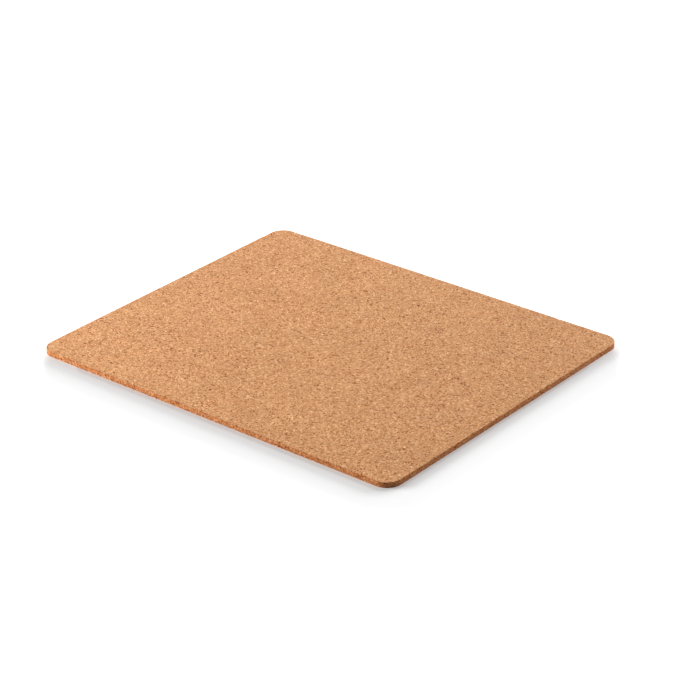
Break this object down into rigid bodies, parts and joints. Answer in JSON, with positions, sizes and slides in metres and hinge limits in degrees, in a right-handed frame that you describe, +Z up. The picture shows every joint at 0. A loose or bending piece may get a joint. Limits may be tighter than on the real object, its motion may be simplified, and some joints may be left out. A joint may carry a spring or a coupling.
{
  "type": "mouse pad",
  "caption": "Flat rectangular mouse pad cut from one sheet of fine-grained cork, with rounded corners, a plain rest face below and a matt gliding face on top.",
  "frame": {"origin": "centre of the underside, on the surface that the pad lies on", "axes": "+X along the long side, +Y along the short side, +Z up through the thickness, out of the gliding face"},
  "size_m": [0.22, 0.18, 0.0028],
  "materials": {
    "cork": "matte"
  },
  "bodies": {
    "root": {"cork_sheet": "cork"}
  },
  "joints": []
}
